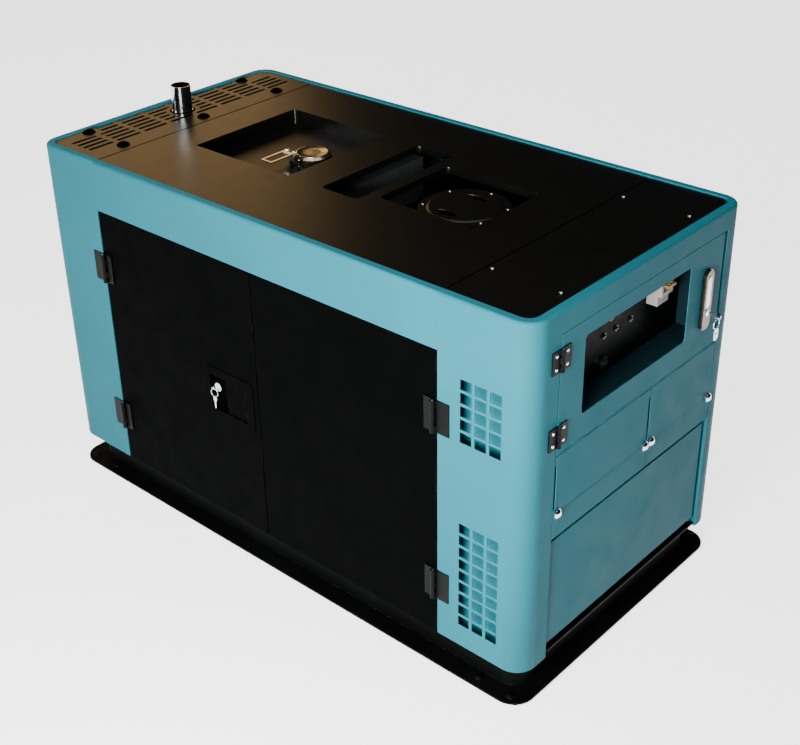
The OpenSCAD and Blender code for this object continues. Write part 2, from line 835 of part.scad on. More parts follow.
module engine_mounts() {
    places = [for (x = [engine_left + 45, engine_left + engine_length - 45], y = [-142, 142])
        [x, y], for (x = [alternator_left + 45, alternator_left + alternator_length - 45],
        y = [-122, 122]) [x, y]];
    color(RUBBER) for (place = places)
        translate([place[0], place[1], deck_plate_top]) {
            cylinder(r = mount_size / 2 + 2, h = 4);
            cylinder(r = mount_size / 2 - 4, h = mount_height);
            translate([0, 0, mount_height - 4]) cylinder(r = mount_size / 2, h = 4);
        }
}

module battery() {
    low = [x_right - 240, -100, deck_plate_top];
    color(BLACK) {
        span(low, low + [175, 130, 170]);
        for (y = [25, 105]) translate(low + [25, y, 170]) cylinder(r = 8, h = 14);
    }
}

// ---- control end ----

module control_box() {
    back = x_right - sheet - box_depth;
    front = x_right - sheet - 4;
    color(TEAL) difference() {
        union() {
            difference() {
                span([back, box_front, box_low], [front, box_back, box_top]);
                span([back + sheet, box_front + sheet, box_low + sheet],
                    [front + 1, box_back - sheet, box_top - sheet]);
            }
            // arms to the posts' returns
            for (y = [open_front, box_back]) span([x_right - return_depth - 6, y,
                box_low + 20], [x_right - return_depth, y == open_front ? box_front
                : open_back + sheet, box_low + 60]);
            span([x_right - return_depth - 6, open_front - sheet, box_low + 20],
                [x_right - return_depth, open_front, box_low + 60]);
        }
        translate([back - 1, box_front + 60, box_low + 60]) rotate([0, 90, 0])
            cylinder(r = 18, h = 5);
    }
}

module control_plate() {
    mid_y = (box_front + box_back) / 2;
    mid_z = (box_low + box_top) / 2;
    wide = box_back - box_front - 2 * sheet - 2 * seat;
    tall = box_top - box_low - 2 * sheet - 2 * seat;
    color(BLACK) translate([plate_x, mid_y, mid_z]) rotate([90, 0, 90]) {
        translate([0, 0, -2]) linear_extrude(2) difference() {
            square([wide, tall], center = true);
            translate([switch_y - mid_y, switch_z - mid_z]) circle(8 + pin_play);
        }
        // raised bead round the controls
        translate([bead_mid[0] - mid_y, bead_mid[1] - mid_z]) linear_extrude(1.5) difference() {
            round_rect(bead_size, 14);
            round_rect(bead_size - [5, 5], 11.5);
            translate([switch_y - mid_y - bead_mid[0] + mid_y, switch_z - bead_mid[1]]) circle(14);
        }
    }
}

lamps = [[window_front + 137, window_low + 71], [window_front + 174, window_low + 71],
    [window_front + 219, window_low + 71], [window_front + 156, window_low + 98]];
switch_y = window_front + 137;
switch_z = window_low + 20;
breaker_poles = 2;
breaker_y = window_front + 268;
breaker_z = window_low + 81;
breaker_size = [18 * breaker_poles, 82];
breaker_depth = 30;
lever_z = breaker_z + 40;
bead_size = [352, breaker_z + breaker_size[1] + 4 - window_low - 17];
bead_mid = [window_front - 8 + bead_size[0] / 2, window_low + 17 + bead_size[1] / 2];

module breaker() {
    color([0.9, 0.9, 0.88]) difference() {
        union() {
            span([plate_x, breaker_y, breaker_z],
                [plate_x + breaker_depth - 8, breaker_y + breaker_size[0], breaker_z + breaker_size[1]]);
            span([plate_x, breaker_y, breaker_z + 20],
                [plate_x + breaker_depth, breaker_y + breaker_size[0], breaker_z + 65]);
        }
        span([plate_x + breaker_depth - 14, breaker_y + 4, lever_z - 14],
            [plate_x + breaker_depth + 1, breaker_y + breaker_size[0] - 4, lever_z + 14]);
        for (k = [0 : breaker_poles - 1], z = [8, breaker_size[1] - 8])
            translate([plate_x + 8, breaker_y + 9 + 18 * k, breaker_z + z]) rotate([0, 90, 0])
                cylinder(r = 3.2, h = 12);
    }
}

module breaker_lever() {
    axis_x = plate_x + breaker_depth - 6;
    color([0.75, 0.42, 0.12]) {
        translate([axis_x, breaker_y + 4 + seat, lever_z]) rotate([-90, 0, 0])
            cylinder(r = 5, h = breaker_size[0] - 8 - 2 * seat);
        for (k = [0 : breaker_poles - 1])
            span([axis_x, breaker_y + 6 + 18 * k, lever_z - 2.5],
                [axis_x + 15, breaker_y + 12 + 18 * k, lever_z + 2.5]);
        span([axis_x + 11, breaker_y + 6, lever_z - 2.5],
            [axis_x + 15, breaker_y + breaker_size[0] - 6, lever_z + 2.5]);
    }
}

module indicator_lamps() {
    color([0.7, 0.2, 0.15]) for (lamp = lamps) translate([plate_x, lamp[0], lamp[1]]) rotate([0, 90, 0]) {
        cylinder(r = 5.5, h = 2.5);
        intersection() {
            cylinder(r = 3.8, h = 6);
            sphere(5.6);
        }
    }
}

module key_switch() {
    color(STEEL) translate([plate_x - 14, switch_y, switch_z]) rotate([0, 90, 0]) {
        cylinder(r = 8, h = 14.1);
        translate([0, 0, 14]) cylinder(r = 12, h = 5);
        translate([-1.2, -5, 19]) cube([2.4, 10, 6]);
        translate([-1.2, -9, 25]) cube([2.4, 18, 14]);
    }
}

module terminal_board() {
    low_z = flap_foot + 20;
    board_x = x_right - 70;
    color([0.12, 0.12, 0.12]) {
        difference() {
            union() {
                span([board_x, open_front + 24, low_z], [board_x + 6, open_back - 24, low_z + 125]);
                for (k = [0 : 3]) span([board_x + 5, open_front + 40 + 62 * k, low_z + 30],
                    [board_x + 22, open_front + 84 + 62 * k, low_z + 95]);
            }
            for (k = [0 : 3]) translate([board_x - 1, open_front + 62 + 62 * k, low_z + 62])
                rotate([0, 90, 0]) cylinder(r = 4 + pin_play, h = 30);
            for (k = [0 : 1]) translate([board_x - 1, flap_split + 60 + 86 * k, low_z + 62])
                rotate([0, 90, 0]) cylinder(r = 26, h = 30);
        }
        // sockets behind the right flap
        for (k = [0 : 1]) translate([board_x, flap_split + 60 + 86 * k, low_z + 62])
            rotate([0, 90, 0]) difference() {
                cylinder(r = 26, h = 18);
                translate([0, 0, 4]) cylinder(r = 21, h = 20);
            }
        // studs behind the left flap
        for (k = [0 : 3]) translate([board_x, open_front + 62 + 62 * k, low_z + 62])
            rotate([0, 90, 0]) cylinder(r = 4, h = 38);
        // brackets to the cross bar
        for (y = [open_front + 30, open_back - 42])
            span([board_x, y, low_z + 120], [board_x + 2, y + 12, flap_axis_z - 13]);
        for (y = [open_front + 30, open_back - 42])
            span([board_x, y, flap_axis_z - 14], [x_right - 28, y + 12, flap_axis_z - 12]);
    }
}

module control_door() {
    face = x_right - sheet;
    rear = x_right - control_door_depth;
    color(TEAL) difference() {
        union() {
            span([face, control_door_front, control_door_foot],
                [x_right, control_door_back, control_door_top]);
            for (z = [control_door_foot, control_door_top - sheet])
                span([rear, control_door_front, z], [x_right, control_door_back, z + sheet]);
            for (y = [control_door_front, control_door_back - sheet])
                span([rear, y, control_door_foot], [x_right, y + sheet, control_door_top]);
        }
        translate([face - 1, window_front + window_width / 2, window_low + window_height / 2])
            rotate([90, 0, 90]) linear_extrude(sheet + 2)
                round_rect([window_width, window_height], window_radius);
        translate([face - 1, handle_y, handle_axis_z]) rotate([0, 90, 0])
            cylinder(r = 8 + pin_play, h = sheet + 2);
    }
}

cam_x = x_right - sheet - 2.6;
handle_width = 30;
handle_length = 122;
handle_y = window_front + window_width + 56;
handle_z = window_low + 64;
handle_axis_z = handle_z + handle_length / 2 - 22;
handle_key_z = handle_z - 26;

module pill(width, length) {
    square([width, length - width], center = true);
    for (side = [-1, 1]) translate([0, side * (length - width) / 2]) circle(width / 2);
}

module control_door_handle() {
    color(STEEL) difference() {
        union() {
            translate([x_right + seat, handle_y, handle_z]) rotate([90, 0, 90])
                linear_extrude(handle_proud - 2 - seat) pill(handle_width, handle_length);
            translate([x_right + seat, handle_y, handle_z]) rotate([90, 0, 90])
                linear_extrude(handle_proud - seat) pill(handle_width - 4, handle_length - 4);
            translate([cam_x, handle_y, handle_axis_z]) rotate([0, 90, 0])
                cylinder(r = 8, h = x_right + 2 - cam_x);
            // cam behind the door
            translate([cam_x, handle_y, handle_axis_z - 8])
                cube([2.3, control_door_back - 6 - handle_y, 16]);
        }
        translate([x_right + 3, handle_y, handle_key_z]) rotate([0, 90, 0])
            cylinder(r = 6 + pin_play, h = 10);
    }
}

// Lock core, the key in it and the ring with a tag that hangs from the key
module control_door_keys() {
    out = x_right + handle_proud;
    color(STEEL) {
        translate([x_right + 3 + pin_play, handle_y, handle_key_z]) rotate([0, 90, 0])
            cylinder(r = 6, h = handle_proud - 2);
        span([out, handle_y - 1, handle_key_z - 4], [out + 12, handle_y + 1, handle_key_z + 4]);
        translate([out + 19, handle_y + 1, handle_key_z]) rotate([90, 0, 0]) difference() {
            cylinder(r = 9, h = 2);
            translate([2, -4, -1]) cylinder(r = 2.5, h = 4);
        }
        translate([out + 21, handle_y - 1, handle_key_z - 14]) rotate([0, 90, 0])
            rotate_extrude() translate([10, 0]) circle(0.9);
        translate([out + 20, handle_y, handle_key_z - 36]) rotate([90, 0, 90])
            linear_extrude(2) difference() {
                round_rect([16, 23.6], 6);
                translate([0, 2]) round_rect([9, 3], 1.2);
            }
    }
}

module flap(low_y, high_y) {
    face = x_right - sheet;
    difference() {
        union() {
            span([face, low_y, flap_foot], [x_right, high_y, flap_axis_z - 3.2]);
            span([face - 8, low_y, flap_foot], [x_right, high_y, flap_foot + sheet]);
        }
        for (y = [low_y + 9, high_y - 9])
            translate([face - 1, y, screw_z]) rotate([0, 90, 0])
                cylinder(r = 3 + pin_play, h = sheet + 2);
    }
}

screw_z = flap_foot + 50;

// A flap's own barrels
module flap_hinge(low_y, high_y) {
    intersection() {
        flap_knuckles(false);
        span([flap_axis_x - 5, low_y, flap_axis_z - 4], [x_right + 5, high_y, flap_axis_z + 4]);
    }
}

module left_flap() {
    color(TEAL) {
        difference() {
            flap(open_front + 2, flap_split - 1.5);
            // cable slits down both edges
            for (y = [open_front + 1, flap_split - 5.5])
                span([x_right - 5, y, flap_foot + 60], [x_right + 1, y + 5, flap_foot + 148]);
        }
        flap_hinge(open_front + 2, flap_split - 1.5);
    }
}

module right_flap() {
    color(TEAL) {
        flap(flap_split + 1.5, open_back - 2);
        flap_hinge(flap_split + 1.5, open_back - 2);
    }
}

thumb_places = [open_front + 11, flap_split - 10.5, flap_split + 10.5, open_back - 11];

module thumb_screw(k) {
    color(STEEL) translate([x_right, thumb_places[k], screw_z]) rotate([0, 90, 0]) {
        translate([0, 0, -sheet - 2]) cylinder(r = 3, h = sheet + 3);
        translate([0, 0, seat]) cylinder(r = 9, h = 3);
        intersection() {
            translate([0, 0, -1]) sphere(9.5);
            translate([0, 0, 3]) cylinder(r = 8, h = 7);
        }
    }
}

module thumb_screw_1() {
    thumb_screw(0);
}

module thumb_screw_2() {
    thumb_screw(1);
}

module thumb_screw_3() {
    thumb_screw(2);
}

module thumb_screw_4() {
    thumb_screw(3);
}

// ---- hinges ----

// One hinge with its axis along Z through the origin and its plates towards -X (fixed)
// or +X (moving); back is how far behind the axis the plates' rear faces lie
module hinge(fixed, height, leaf, radius, back, bore) {
    knuckle = height / 5;
    side = fixed ? -1 : 1;
    difference() {
        union() {
            for (k = [0 : 4]) if ((k % 2 == 0) == fixed) {
                translate([0, 0, knuckle * k + knuckle_gap / 2])
                    cylinder(r = radius, h = knuckle - knuckle_gap);
                translate([side > 0 ? 0 : -radius - 1, 0, knuckle * k + knuckle_gap / 2])
                    cube([radius + 1, back, knuckle - knuckle_gap]);
            }
            translate([side > 0 ? radius + 0.5 : -radius - 0.5 - leaf, back - leaf_sheet, 0])
                cube([leaf, leaf_sheet, height]);
        }
        translate([0, 0, -1]) cylinder(r = bore, h = height + 2);
        for (k = [0 : 4]) if ((k % 2 == 0) != fixed)
            translate([0, 0, knuckle * k - knuckle_gap / 2])
                cylinder(r = radius + 0.4, h = knuckle + knuckle_gap);
    }
}

// Places a side door's hinge; hand is -1 for the left door and 1 for the right one
module at_side_hinges(hand) {
    x = hand < 0 ? seam_left + axis_inset : seam_right - axis_inset;
    for (z = hinge_levels) translate([x, -barrel_y, z]) scale([-hand, 1, 1]) children();
}

module side_hinge(fixed) {
    hinge(fixed, hinge_height, fixed ? hinge_leaf : 16, barrel_radius,
        barrel_y - half_w, pin_radius + pin_play);
}

module at_control_hinges() {
    for (z = control_levels)
        translate([control_axis_x, control_axis_y, z]) rotate(90) children();
}

module control_hinge(fixed) {
    hinge(fixed, control_hinge_height, control_leaf - control_barrel - 0.5, control_barrel,
        control_axis_x - x_right, 1.5 + pin_play);
}

module hinge_frame_leaves() {
    color(BLACK) {
        for (hand = [-1, 1], side = [1, -1]) scale([1, side, 1])
            at_side_hinges(hand) side_hinge(true);
        at_control_hinges() control_hinge(true);
    }
}

module hinge_pins() {
    color(STEEL) {
        for (hand = [-1, 1], side = [1, -1]) scale([1, side, 1])
            at_side_hinges(hand) translate([0, 0, -1])
                cylinder(r = pin_radius, h = hinge_height + 2);
        at_control_hinges() translate([0, 0, -1]) cylinder(r = 1.5, h = control_hinge_height + 2);
        for (flap = flap_spans)
            translate([flap_axis_x, flap[0] + 1, flap_axis_z]) rotate([-90, 0, 0])
                cylinder(r = 1, h = flap[1] - flap[0] - 2);
    }
}

module front_left_door_leaves() {
    color(BLACK) at_side_hinges(-1) side_hinge(false);
}

module front_right_door_leaves() {
    color(BLACK) at_side_hinges(1) side_hinge(false);
}

module back_left_door_leaves() {
    color(BLACK) scale([1, -1, 1]) at_side_hinges(-1) side_hinge(false);
}

module back_right_door_leaves() {
    color(BLACK) scale([1, -1, 1]) at_side_hinges(1) side_hinge(false);
}

module control_door_leaves() {
    color(BLACK) at_control_hinges() control_hinge(false);
}

// ---- side doors ----

module side_door(low_x, high_x) {
    rear = door_depth - half_w;
    difference() {
        span([low_x, -half_w, door_foot], [high_x, rear, door_top]);
        span([low_x + sheet, sheet - half_w, door_foot + sheet],
            [high_x - sheet, rear + 1, door_top - sheet]);
    }
    // stiffening ribs behind the skin
    for (z = [door_foot + 120, door_top - 120])
        span([low_x + sheet, sheet - half_w, z], [high_x - sheet, sheet - half_w + 6, z + 3]);
}

module left_door() {
    difference() {
        side_door(seam_left + door_gap, meeting_x - 1.5);
        translate([lock_x, 1 - half_w, lock_z]) rotate([90, 0, 0]) linear_extrude(10)
            round_rect([lock_width - 12, lock_height - 12], 6);
        span([lock_x - lock_width / 2 + 5, sheet - half_w - 1, lock_z - lock_height / 2 + 5],
            [lock_x + lock_width / 2 - 5, sheet - half_w + 8, lock_z + lock_height / 2 - 5]);
    }
}

module front_left_door() {
    color(BLACK) left_door();
}

module front_right_door() {
    color(BLACK) side_door(meeting_x + 1.5, seam_right - door_gap);
}

module back_left_door() {
    color(BLACK) scale([1, -1, 1]) left_door();
}

module back_right_door() {
    color(BLACK) scale([1, -1, 1]) side_door(meeting_x + 1.5, seam_right - door_gap);
}

// Pressed dish with a flat border on the door's face
module lock_dish() {
    size = [lock_width, lock_height];
    inner = size - 2 * [lock_border, lock_border];
    translate([lock_x, -half_w, lock_z]) rotate([90, 0, 0]) difference() {
        union() {
            linear_extrude(lock_wall) round_rect(size, 11);
            translate([0, 0, -lock_depth]) linear_extrude(lock_depth + 1)
                round_rect(inner + [2 * lock_wall, 2 * lock_wall], 5);
        }
        translate([0, 0, lock_wall - lock_depth]) linear_extrude(lock_depth + 2)
            round_rect(inner, 4);
        translate([cylinder_x - lock_x, cylinder_z - lock_z, -lock_depth - 1])
            cylinder(r = cylinder_radius + pin_play, h = 5);
    }
}

paddle_left = lock_x - 6;
paddle_axis_x = paddle_left + paddle_width + 2;
paddle_axis_y = 5 - half_w;

// Plate that lifts at its free edge on a pin across the dish
module lock_paddle() {
    tall = lock_height - 2 * lock_border - 3;
    translate([0, 0, lock_z - tall / 2]) {
        span([paddle_left, 1 - half_w, 0], [paddle_axis_x - 1, 4 - half_w, tall]);
        translate([paddle_axis_x, paddle_axis_y, 0]) cylinder(r = 3, h = tall);
        span([paddle_axis_x - 3, 1 - half_w, 0], [paddle_axis_x, 5 - half_w, tall]);
    }
}

module front_lock_dish() {
    color(BLACK) lock_dish();
}

module back_lock_dish() {
    color(BLACK) scale([1, -1, 1]) {
        lock_dish();
        // its lock core
        translate([cylinder_x, -half_w, cylinder_z]) rotate([90, 0, 0])
            translate([0, 0, -lock_depth]) cylinder(r = cylinder_radius + pin_play, h = lock_depth - 4);
    }
}

module front_lock_paddle() {
    color(BLACK) lock_paddle();
}

module back_lock_paddle() {
    color(BLACK) scale([1, -1, 1]) lock_paddle();
}

module front_lock_cylinder() {
    color(STEEL) translate([cylinder_x, -half_w, cylinder_z]) rotate([90, 0, 0])
        translate([0, 0, -lock_depth - 4]) cylinder(r = cylinder_radius, h = lock_depth + 2);
}

// Key standing in the lock
module front_lock_keys() {
    y = 2 - half_w;
    color(STEEL) {
        span([cylinder_x - 4, y - 5, cylinder_z - 1], [cylinder_x + 4, y, cylinder_z + 1]);
        translate([cylinder_x, y - 5, cylinder_z - 1]) difference() {
            translate([-9, -4, 0]) cube([18, 5, 2]);
            translate([-5.5, -2.5, -1]) cylinder(r = 1.6, h = 4);
        }
    }
}

skid_base();
foot_pads();
flange_bolts();
engine_mounts();
left_end_frame();
right_end_frame();
front_top_rail();
back_top_rail();
left_end_panel();
lower_end_panel();
vent_baffles();
grille_panel();
grille_cap_screws();
center_deck();
right_deck();
deck_screws();
air_cleaner();
air_cleaner_cover();
fuel_tank();
muffler();
exhaust_pipe();
engine_block();
crankshaft();
alternator_housing();
battery();
control_box();
control_plate();
breaker();
breaker_lever();
indicator_lamps();
key_switch();
terminal_board();
hinge_frame_leaves();
hinge_pins();
front_left_door();
front_right_door();
back_left_door();
back_right_door();
front_left_door_leaves();
front_right_door_leaves();
back_left_door_leaves();
back_right_door_leaves();
front_lock_dish();
front_lock_paddle();
front_lock_cylinder();
front_lock_keys();
back_lock_dish();
back_lock_paddle();
control_door();
control_door_leaves();
control_door_handle();
control_door_keys();
left_flap();
right_flap();
thumb_screw_1();
thumb_screw_2();
thumb_screw_3();
thumb_screw_4();
fuel_cap();
fuel_cap_hasp();
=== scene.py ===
import bmesh
import bpy
import json
import math
import numpy as np
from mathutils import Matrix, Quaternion, Vector


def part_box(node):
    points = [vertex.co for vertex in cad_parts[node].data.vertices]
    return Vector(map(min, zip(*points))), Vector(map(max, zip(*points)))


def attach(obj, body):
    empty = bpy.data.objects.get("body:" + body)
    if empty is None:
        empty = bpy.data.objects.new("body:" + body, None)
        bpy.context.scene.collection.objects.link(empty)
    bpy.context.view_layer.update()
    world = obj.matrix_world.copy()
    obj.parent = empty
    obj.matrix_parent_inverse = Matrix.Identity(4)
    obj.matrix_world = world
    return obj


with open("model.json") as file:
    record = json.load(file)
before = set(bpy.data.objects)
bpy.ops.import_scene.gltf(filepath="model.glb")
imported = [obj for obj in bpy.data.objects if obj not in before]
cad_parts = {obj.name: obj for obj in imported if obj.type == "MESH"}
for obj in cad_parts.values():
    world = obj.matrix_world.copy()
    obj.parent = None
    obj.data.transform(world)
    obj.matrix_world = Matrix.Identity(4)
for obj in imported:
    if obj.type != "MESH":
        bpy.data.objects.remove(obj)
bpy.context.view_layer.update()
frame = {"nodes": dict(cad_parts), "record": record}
nodes = frame["nodes"]

print("camera")
cameraView = {
    "place": (1.6357, -1.7629, 1.7295),
    "azimuth": 43.04,       # degrees, 0 looks along +Y
    "elevation": 29.27,
    "roll": -1.51,
    "lens": 60.55,
    "shift": (0.03, -0.03),
}


def makeCamera(view):
    data = bpy.data.cameras.new("viewCamera")
    data.lens = view["lens"]
    data.sensor_width = 36
    data.shift_x, data.shift_y = view["shift"]
    data.clip_start, data.clip_end = 0.05, 60
    cam = bpy.data.objects.new("viewCamera", data)
    bpy.context.scene.collection.objects.link(cam)
    a, e = math.radians(view["azimuth"]), math.radians(view["elevation"])
    ahead = Vector((-math.sin(a) * math.cos(e), math.cos(a) * math.cos(e), -math.sin(e)))
    cam.rotation_mode = "QUATERNION"
    cam.rotation_quaternion = ahead.to_track_quat("-Z", "Y") @ Quaternion(
        (0, 0, 1), math.radians(view["roll"]))
    cam.location = view["place"]
    bpy.context.scene.camera = cam


makeCamera(cameraView)


print("materials")


class Shader:
    # A thin wrapper, so that a material reads as a list of its nodes

    def __init__(self, name):
        self.material = bpy.data.materials.new(name)
        self.material.use_nodes = True
        self.tree = self.material.node_tree
        self.surface = self.tree.nodes["Principled BSDF"]
        self.place = self.add("ShaderNodeTexCoord").outputs["Object"]

    def add(self, kind, **values):
        node = self.tree.nodes.new(kind)
        for key, value in values.items():
            setattr(node, key, value)
        return node

    def join(self, source, socket):
        self.tree.links.new(source, socket)

    def stretch(self, scale, turn=(0, 0, 0)):
        node = self.add("ShaderNodeMapping")
        node.inputs["Scale"].default_value = scale
        node.inputs["Rotation"].default_value = turn
        self.join(self.place, node.inputs["Vector"])
        return node.outputs["Vector"]

    def noise(self, scale, detail=4, rough=0.55, place=None):
        node = self.add("ShaderNodeTexNoise")
        node.inputs["Scale"].default_value = scale
        node.inputs["Detail"].default_value = detail
        node.inputs["Roughness"].default_value = rough
        self.join(place or self.place, node.inputs["Vector"])
        return node.outputs["Fac"]

    def remap(self, value, lowIn, highIn, lowOut, highOut):
        node = self.add("ShaderNodeMapRange")
        for key, number in zip(("From Min", "From Max", "To Min", "To Max"),
                               (lowIn, highIn, lowOut, highOut)):
            node.inputs[key].default_value = number
        self.join(value, node.inputs["Value"])
        return node.outputs["Result"]

    def maths(self, operation, a, b):
        node = self.add("ShaderNodeMath", operation=operation)
        for socket, value in zip(node.inputs, (a, b)):
            if isinstance(value, (int, float)):
                socket.default_value = value
            else:
                self.join(value, socket)
        return node.outputs["Value"]

    def blend(self, factor, a, b):
        node = self.add("ShaderNodeMix", data_type="RGBA")
        self.join(factor, node.inputs["Factor"])
        for socket, value in zip((node.inputs[6], node.inputs[7]), (a, b)):
            if isinstance(value, tuple):
                socket.default_value = (*value, 1)
            else:
                self.join(value, socket)
        return node.outputs[2]

    def bump(self, height, strength, distance, below=None):
        node = self.add("ShaderNodeBump")
        node.inputs["Strength"].default_value = strength
        node.inputs["Distance"].default_value = distance
        self.join(height, node.inputs["Height"])
        if below:
            self.join(below, node.inputs["Normal"])
        return node.outputs["Normal"]

    def edges(self, radius):
        # 1 on a sharp edge and 0 on a flat: how far the rounded normal leans from the true one
        soft = self.add("ShaderNodeBevel", samples=4)
        soft.inputs["Radius"].default_value = radius
        lean = self.add("ShaderNodeVectorMath", operation="DOT_PRODUCT")
        self.join(soft.outputs["Normal"], lean.inputs[0])
        self.join(self.add("ShaderNodeNewGeometry").outputs["Normal"], lean.inputs[1])
        return self.remap(lean.outputs["Value"], 0.995, 0.85, 0, 1)

    def finish(self, **sockets):
        for key, value in sockets.items():
            socket = self.surface.inputs[key.replace("_", " ")]
            if isinstance(value, (int, float)):
                socket.default_value = value
            elif isinstance(value, tuple):
                socket.default_value = (*value, 1)
            else:
                self.join(value, socket)
        return self.material


# Sprayed paint: a slow drift of colour, thin dust, orange peel, and wear along the edges, whose lighter
# colour is partly a painted edge highlight
def paint(name, look):
    s = Shader(name)
    drift = s.remap(s.noise(look["drift"], 3), 0.3, 0.7, 0, 1)
    colour = s.blend(drift, look["color"], look["shade"])
    specks = s.remap(s.noise(look["specks"], 6, 0.75), 0.62, 0.74, 0, look["dust"])
    colour = s.blend(specks, colour, look["dustColor"])
    scuffs = s.noise(90, 8, 0.8, s.stretch((1, 1, 0.25)))
    # edges lightened in patches toward the paler colour: partly wear, partly a painted edge highlight
    wornAndLitEdge = s.maths("MULTIPLY", s.edges(0.0016), s.remap(scuffs, 0.48, 0.62, 0, look["wearAndEdgeLight"]))
    colour = s.blend(wornAndLitEdge, colour, look["bareAndLitEdge"])
    rough = s.remap(s.noise(look["drift"] * 6, 5), 0.3, 0.7, look["rough"][0], look["rough"][1])
    peel = s.bump(s.noise(look["peel"], 2, 0.4), look["peelHeight"], 0.0004)
    return s.finish(Base_Color=colour, Roughness=rough, Normal=peel,
                    Metallic=0.0, Specular_IOR_Level=look["shine"],
                    Coat_Weight=look["coat"], Coat_Roughness=look["coatRough"])


tealLook = {
    "color": (0.022, 0.230, 0.300), "shade": (0.018, 0.203, 0.265), "bareAndLitEdge": (0.18, 0.40, 0.44),
    "dustColor": (0.09, 0.20, 0.23), "drift": 3.5, "specks": 140, "dust": 0.12, "wearAndEdgeLight": 0.55,
    "rough": (0.42, 0.54), "peel": 420, "peelHeight": 0.10, "shine": 0.05,
    "coat": 0.0, "coatRough": 0.3,
}
blackLook = {
    "color": (0.0009, 0.0012, 0.0010), "shade": (0.0006, 0.0008, 0.0007), "bareAndLitEdge": (0.04, 0.045, 0.045),
    "dustColor": (0.006, 0.007, 0.0065), "drift": 4, "specks": 160, "dust": 0.10, "wearAndEdgeLight": 0.7,
    "rough": (0.5, 0.62), "peel": 380, "peelHeight": 0.12, "shine": 0.006,
    "coat": 0.0, "coatRough": 0.3,
}
deckLook = {
    "color": (0.0030, 0.0030, 0.0026), "shade": (0.0020, 0.0020, 0.0018), "bareAndLitEdge": (0.04, 0.04, 0.038),
    "dustColor": (0.012, 0.012, 0.010), "drift": 5, "specks": 220, "dust": 0.12, "wearAndEdgeLight": 0.5,
    "rough": (0.30, 0.34), "peel": 300, "peelHeight": 0.03, "shine": 0.38,
    "coat": 0.0, "coatRough": 0.2,
}
baseLook = dict(blackLook, color=(0.0030, 0.0034, 0.0034), dust=0.25, specks=90, shine=0.05)
# a darker copy of the teal paint: painted shade for the inside of the control box
shadedSillLook = dict(tealLook, color=(0.010, 0.032, 0.042), shade=(0.008, 0.025, 0.034))
hingeLook = dict(blackLook, color=(0.003, 0.003, 0.004), shine=0.06, rough=(0.38, 0.5), wearAndEdgeLight=0.8)
greyLook = {
    "color": (0.060, 0.070, 0.075), "shade": (0.045, 0.052, 0.057), "bareAndLitEdge": (0.20, 0.20, 0.20),
    "dustColor": (0.12, 0.11, 0.10), "drift": 9, "specks": 70, "dust": 0.35, "wearAndEdgeLight": 0.7,
    "rough": (0.55, 0.75), "peel": 260, "peelHeight": 0.35, "shine": 0.3,
    "coat": 0.0, "coatRough": 0.3,
}


# Plated or polished metal: fine brushing, finger smears in the gloss, darker specks
def metal(name, look):
    s = Shader(name)
    smear = s.remap(s.noise(look["smear"], 5), 0.35, 0.7, 0, 1)
    colour = s.blend(smear, look["color"], look["shade"])
    pits = s.remap(s.noise(look["pits"], 6, 0.8), 0.66, 0.76, 0, look["pitting"])
    colour = s.blend(pits, colour, look["pitColor"])
    rough = s.remap(smear, 0, 1, look["rough"][0], look["rough"][1])
    grain = s.noise(look["grain"], 3, 0.6, s.stretch(look["brush"]))
    normal = s.bump(grain, look["grainHeight"], 0.0002)
    return s.finish(Base_Color=colour, Roughness=rough, Normal=normal, Metallic=1.0)


chromeLook = {
    "color": (0.72, 0.73, 0.75), "shade": (0.60, 0.61, 0.63), "pitColor": (0.25, 0.22, 0.18),
    "smear": 22, "pits": 260, "pitting": 0.35, "rough": (0.06, 0.18), "grain": 500,
    "brush": (1, 1, 1), "grainHeight": 0.04,
}
smokedLook = dict(chromeLook, color=(0.16, 0.14, 0.11), shade=(0.09, 0.075, 0.055), rough=(0.12, 0.26))
steelLook = dict(chromeLook, color=(0.50, 0.50, 0.50), shade=(0.38, 0.38, 0.38), rough=(0.25, 0.42),
                 brush=(0.1, 1, 1), grainHeight=0.15)
capLook = dict(chromeLook, color=(0.70, 0.62, 0.50), shade=(0.34, 0.26, 0.17), smear=60,
               rough=(0.12, 0.30), pitting=0.6)


# Moulded plastic or rubber: mottled tone, fine grain, dull scuffs
def plastic(name, look):
    s = Shader(name)
    tone = s.remap(s.noise(look["mottle"], 4), 0.3, 0.7, 0, 1)
    colour = s.blend(tone, look["color"], look["shade"])
    scuff = s.remap(s.noise(60, 8, 0.8), 0.60, 0.72, 0, look["scuff"])
    colour = s.blend(scuff, colour, look["scuffColor"])
    rough = s.remap(s.noise(45, 4), 0.3, 0.7, look["rough"][0], look["rough"][1])
    normal = s.bump(s.noise(look["grain"], 3), look["grainHeight"], 0.0003)
    return s.finish(Base_Color=colour, Roughness=rough, Normal=normal,
                    Specular_IOR_Level=look["shine"])


rubberLook = {
    "color": (0.020, 0.020, 0.020), "shade": (0.013, 0.013, 0.013), "scuffColor": (0.06, 0.058, 0.055),
    "mottle": 30, "scuff": 0.5, "rough": (0.7, 0.9), "grain": 700, "grainHeight": 0.4, "shine": 0.25,
}
panelLook = dict(rubberLook, color=(0.0025, 0.003, 0.003), shade=(0.0015, 0.002, 0.002), scuff=0.15,
                 rough=(0.35, 0.5), grainHeight=0.2, shine=0.04)
paleLook = dict(rubberLook, color=(0.72, 0.71, 0.67), shade=(0.62, 0.61, 0.56), scuff=0.25,
                scuffColor=(0.40, 0.37, 0.30), rough=(0.28, 0.42), grainHeight=0.08, shine=0.5)
amberLook = dict(paleLook, color=(0.55, 0.30, 0.09), shade=(0.42, 0.21, 0.05))
lensLook = dict(paleLook, color=(0.040, 0.012, 0.010), shade=(0.022, 0.008, 0.007),
                scuffColor=(0.08, 0.06, 0.05), rough=(0.08, 0.16))

